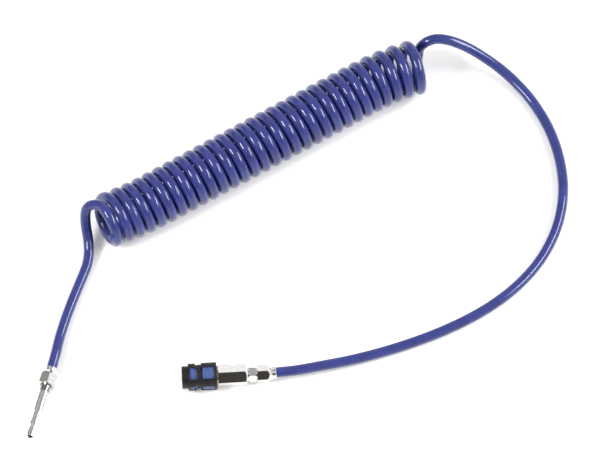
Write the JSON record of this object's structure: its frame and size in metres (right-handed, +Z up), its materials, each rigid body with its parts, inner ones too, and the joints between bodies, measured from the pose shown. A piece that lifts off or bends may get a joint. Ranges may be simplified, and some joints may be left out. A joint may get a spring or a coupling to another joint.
{
  "type": "coiled air hose",
  "caption": "Coiled polyurethane air hose with a straight lead to a sleeve-locked quick coupler and a straight tail to a male plug nipple, laid flat on the floor.",
  "frame": {"origin": "on the floor, under the middle of the whole part's box", "axes": "+X along the coupler from its mouth to the hose, +Y from the fittings to the coil, +Z up from the floor"},
  "size_m": [0.5576, 0.4086, 0.057],
  "materials": {
    "hose_blue": "gloss",
    "plated_metal": "polished",
    "turned_steel": "satin",
    "spring_steel": "satin",
    "ball_steel": "polished",
    "grip_blue": "satin",
    "cover_black": "satin",
    "brass": "satin",
    "rubber": "matte",
    "seal_white": "satin"
  },
  "bodies": {
    "hose_and_bodies": {"hose_coil": "hose_blue", "hose_lead": "hose_blue", "hose_tail": "hose_blue", "front_body": "turned_steel", "rear_body": "plated_metal", "hose_fitting": "plated_metal", "coupler_union_nut": "plated_metal", "nipple_union_nut": "plated_metal", "nipple": "plated_metal", "nose_ring": "spring_steel", "collar_ring": "brass", "nipple_seal": "rubber", "body_seal": "rubber", "valve_spring": "spring_steel", "sealing_washer": "seal_white"},
    "sleeve_turn": {"spring_seat": "turned_steel", "sleeve_spring": "spring_steel"},
    "sleeve": {"sleeve_core": "turned_steel", "sleeve_grip": "grip_blue", "sleeve_cover": "cover_black"},
    "valve": {"valve_poppet": "brass", "valve_seal": "rubber"},
    "ball_1": {"locking_ball_1": "ball_steel"},
    "ball_2": {"locking_ball_2": "ball_steel"},
    "ball_3": {"locking_ball_3": "ball_steel"},
    "ball_4": {"locking_ball_4": "ball_steel"},
    "ball_5": {"locking_ball_5": "ball_steel"},
    "ball_6": {"locking_ball_6": "ball_steel"}
  },
  "joints": [
    {"name": "sleeve_spin", "type": "hinge", "parent": "hose_and_bodies", "child": "sleeve_turn", "pos_m": [-0.1205, -0.1493, 0.01395], "axis": [1, 0, 0], "continuous": true},
    {"name": "sleeve_slide", "type": "slide", "parent": "sleeve_turn", "child": "sleeve", "axis": [1, 0, 0], "range_m": [0, 0.006], "stiffness_N_per_m": 1500, "springref_m": -0.008, "deforming": ["sleeve_spring"]},
    {"name": "valve_slide", "type": "slide", "parent": "hose_and_bodies", "child": "valve", "axis": [1, 0, 0], "range_m": [0, 0.004], "stiffness_N_per_m": 400, "springref_m": -0.005, "deforming": ["valve_spring"]},
    {"name": "ball_1_slide", "type": "slide", "parent": "hose_and_bodies", "child": "ball_1", "axis": [0, 0, 1], "range_m": [0, 0.00125]},
    {"name": "ball_2_slide", "type": "slide", "parent": "hose_and_bodies", "child": "ball_2", "axis": [0, -0.866, 0.5], "range_m": [0, 0.00125]},
    {"name": "ball_3_slide", "type": "slide", "parent": "hose_and_bodies", "child": "ball_3", "axis": [0, -0.866, -0.5], "range_m": [0, 0.00125]},
    {"name": "ball_4_slide", "type": "slide", "parent": "hose_and_bodies", "child": "ball_4", "axis": [0, 0, -1], "range_m": [0, 0.00125]},
    {"name": "ball_5_slide", "type": "slide", "parent": "hose_and_bodies", "child": "ball_5", "axis": [0, 0.866, -0.5], "range_m": [0, 0.00125]},
    {"name": "ball_6_slide", "type": "slide", "parent": "hose_and_bodies", "child": "ball_6", "axis": [0, 0.866, 0.5], "range_m": [0, 0.00125]}
  ],
  "couplings": [
    {"joint": "ball_1_slide", "follows": "sleeve_slide", "ratio": 0.20833},
    {"joint": "ball_2_slide", "follows": "sleeve_slide", "ratio": 0.20833},
    {"joint": "ball_3_slide", "follows": "sleeve_slide", "ratio": 0.20833},
    {"joint": "ball_4_slide", "follows": "sleeve_slide", "ratio": 0.20833},
    {"joint": "ball_5_slide", "follows": "sleeve_slide", "ratio": 0.20833},
    {"joint": "ball_6_slide", "follows": "sleeve_slide", "ratio": 0.20833}
  ]
}
